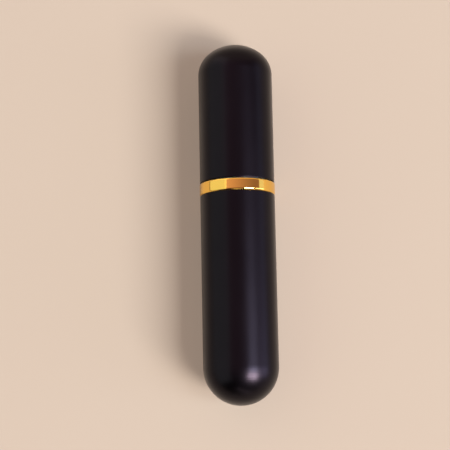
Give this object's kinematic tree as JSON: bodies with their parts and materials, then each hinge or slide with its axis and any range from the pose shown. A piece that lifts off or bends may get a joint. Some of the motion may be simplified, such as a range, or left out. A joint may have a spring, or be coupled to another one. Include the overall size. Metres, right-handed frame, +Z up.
{
  "type": "gold sample vial in a metal case",
  "caption": "Capsule-shaped metal case with a pull-off cap and a polished collar ring, holding a small glass sample vial with a screw closure.",
  "frame": {"origin": "bottom centre of the case's box as it lies on its side: the collar ring touches the table at Z = 0, and Y = 0 is the middle of the length", "axes": "+Y along the case's axis towards the tip of the cap, +Z up, +X to the right when looking along +Y"},
  "size_m": [0.0182, 0.0876, 0.0182],
  "materials": {
    "case_black": "satin black anodised",
    "ring_gold": "polished, gold anodised",
    "neck_aluminium": "fine turned, clear anodised",
    "liner_plastic": "moulded natural polypropylene",
    "silicone_grey": "moulded silicone",
    "foam_grey": "closed-cell foam",
    "nitrile_black": "moulded nitrile",
    "vial_glass": "clear tubular glass, fire polished",
    "disc_white": "smooth fluoropolymer face",
    "closure_black": "moulded phenolic"
  },
  "bodies": {
    "base": {"body_shell": "case_black", "vial_holder": "liner_plastic", "vial_cushion": "silicone_grey", "collar_ring": "ring_gold", "neck_sleeve": "neck_aluminium", "neck_o_ring": "nitrile_black"},
    "cap": {"cap_shell": "case_black", "cap_liner": "liner_plastic", "cap_pad": "foam_grey"},
    "vial": {"glass_vial": "vial_glass"},
    "sealing_disc": {"closure_liner": "disc_white"},
    "closure": {"vial_closure": "closure_black"}
  },
  "joints": [
    {"name": "cap_pull", "type": "slide", "parent": "base", "child": "cap", "axis": [0, 1, 0], "range_m": [0, 0.12]},
    {"name": "vial_draw", "type": "slide", "parent": "base", "child": "vial", "axis": [0, 1, 0], "range_m": [0, 0.06]},
    {"name": "closure_lift", "type": "slide", "parent": "vial", "child": "sealing_disc", "axis": [0, 1, 0], "range_m": [0, 0.012]},
    {"name": "closure_turn", "type": "hinge", "parent": "sealing_disc", "child": "closure", "pos_m": [0, 0.03611, 0.00912], "axis": [0, 1, 0], "range_deg": [0, 2160]}
  ],
  "couplings": [
    {"joint": "vial_draw", "follows": "cap_pull", "ratio": 0.5},
    {"joint": "closure_lift", "follows": "cap_pull", "ratio": 0.1},
    {"joint": "closure_turn", "follows": "cap_pull", "rad_per_m": 314.16}
  ]
}
